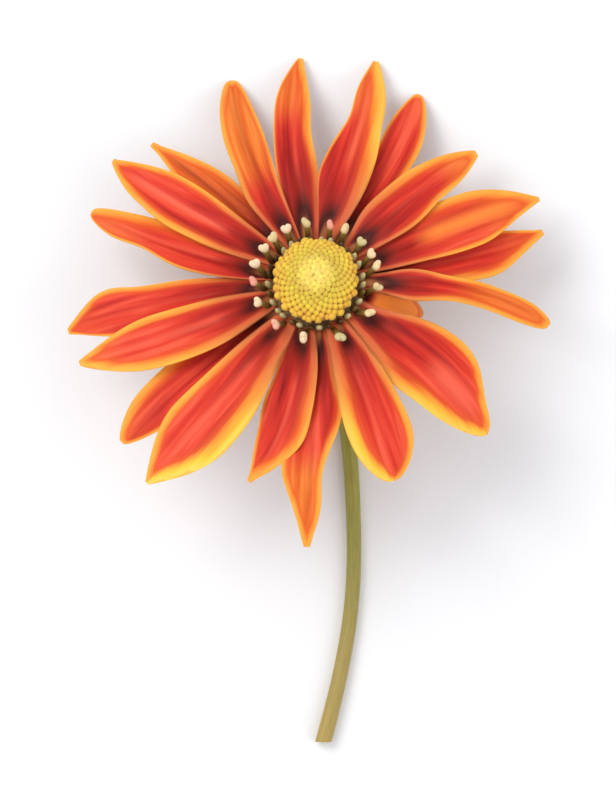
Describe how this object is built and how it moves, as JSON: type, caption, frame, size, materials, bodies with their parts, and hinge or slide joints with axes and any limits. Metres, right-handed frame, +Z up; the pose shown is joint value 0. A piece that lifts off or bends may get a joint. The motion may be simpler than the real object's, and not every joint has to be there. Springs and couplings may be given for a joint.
{
  "type": "gazania flower",
  "caption": "Cut gazania daisy lying down: domed yellow disc, ring of dark florets, long orange-red petals, ribbed green cup and bare curved stem.",
  "frame": {"origin": "middle of the footprint, on the surface that the flower lies on", "axes": "+Z up; +Y from the cut end of the stem towards the head; seen from above the flower stands upright with +Y at the top"},
  "size_m": [0.0825, 0.1187, 0.033],
  "materials": {
    "petal": "soft satin petal skin, red with a dark base and yellow-orange margins",
    "open_floret": "dark brown tubes with cream tips",
    "disc_floret": "matte golden yellow, fine grained",
    "cup": "dull olive green with darker bract tips",
    "stalk": "satin green stem that turns brown towards its cut end"
  },
  "bodies": {
    "root": {"stem": "stalk", "involucre": "cup", "ray_florets": "petal", "open_florets": "open_floret", "disc_florets": "disc_floret"}
  },
  "joints": []
}
